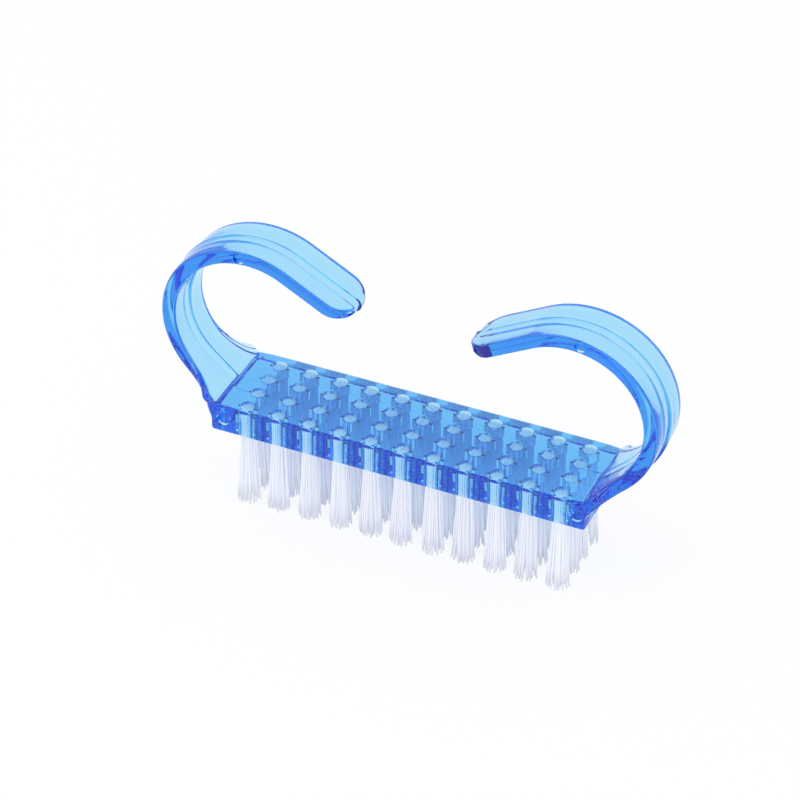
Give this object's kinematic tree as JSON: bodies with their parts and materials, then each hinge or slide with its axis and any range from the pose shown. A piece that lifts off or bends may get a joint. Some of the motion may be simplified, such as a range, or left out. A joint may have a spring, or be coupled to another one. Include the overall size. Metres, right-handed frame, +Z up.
{
  "type": "nail brush",
  "caption": "Clear blue acrylic nail brush: a narrow block of white bristle tufts under two curled finger hooks with a gap between their tips.",
  "frame": {"origin": "on the surface that the bristle tips stand on, midway along and midway across the brush", "axes": "+X along the brush, +Y across it towards the back, +Z up from the bristle tips to the hooks"},
  "size_m": [0.065, 0.0126, 0.0363],
  "materials": {
    "blue_acrylic": "clear moulded acrylic tinted azure blue, polished, with a faint parting line",
    "white_nylon": "fine white nylon filament, slightly translucent, satin sheen",
    "anchor_wire": "plain flat staple wire, dull drawn surface"
  },
  "bodies": {
    "root": {"handle_body": "blue_acrylic", "tuft_r1_c01": "white_nylon", "tuft_r1_c02": "white_nylon", "tuft_r1_c03": "white_nylon", "tuft_r1_c04": "white_nylon", "tuft_r1_c05": "white_nylon", "tuft_r1_c06": "white_nylon", "tuft_r1_c07": "white_nylon", "tuft_r1_c08": "white_nylon", "tuft_r1_c09": "white_nylon", "tuft_r1_c10": "white_nylon", "tuft_r1_c11": "white_nylon", "tuft_r2_c01": "white_nylon", "tuft_r2_c02": "white_nylon", "tuft_r2_c03": "white_nylon", "tuft_r2_c04": "white_nylon", "tuft_r2_c05": "white_nylon", "tuft_r2_c06": "white_nylon", "tuft_r2_c07": "white_nylon", "tuft_r2_c08": "white_nylon", "tuft_r2_c09": "white_nylon", "tuft_r2_c10": "white_nylon", "tuft_r2_c11": "white_nylon", "tuft_r3_c01": "white_nylon", "tuft_r3_c02": "white_nylon", "tuft_r3_c03": "white_nylon", "tuft_r3_c04": "white_nylon", "tuft_r3_c05": "white_nylon", "tuft_r3_c06": "white_nylon", "tuft_r3_c07": "white_nylon", "tuft_r3_c08": "white_nylon", "tuft_r3_c09": "white_nylon", "tuft_r3_c10": "white_nylon", "tuft_r3_c11": "white_nylon", "tuft_r4_c01": "white_nylon", "tuft_r4_c02": "white_nylon", "tuft_r4_c03": "white_nylon", "tuft_r4_c04": "white_nylon", "tuft_r4_c05": "white_nylon", "tuft_r4_c06": "white_nylon", "tuft_r4_c07": "white_nylon", "tuft_r4_c08": "white_nylon", "tuft_r4_c09": "white_nylon", "tuft_r4_c10": "white_nylon", "tuft_r4_c11": "white_nylon", "anchors_row_1": "anchor_wire", "anchors_row_2": "anchor_wire", "anchors_row_3": "anchor_wire", "anchors_row_4": "anchor_wire"}
  },
  "joints": []
}
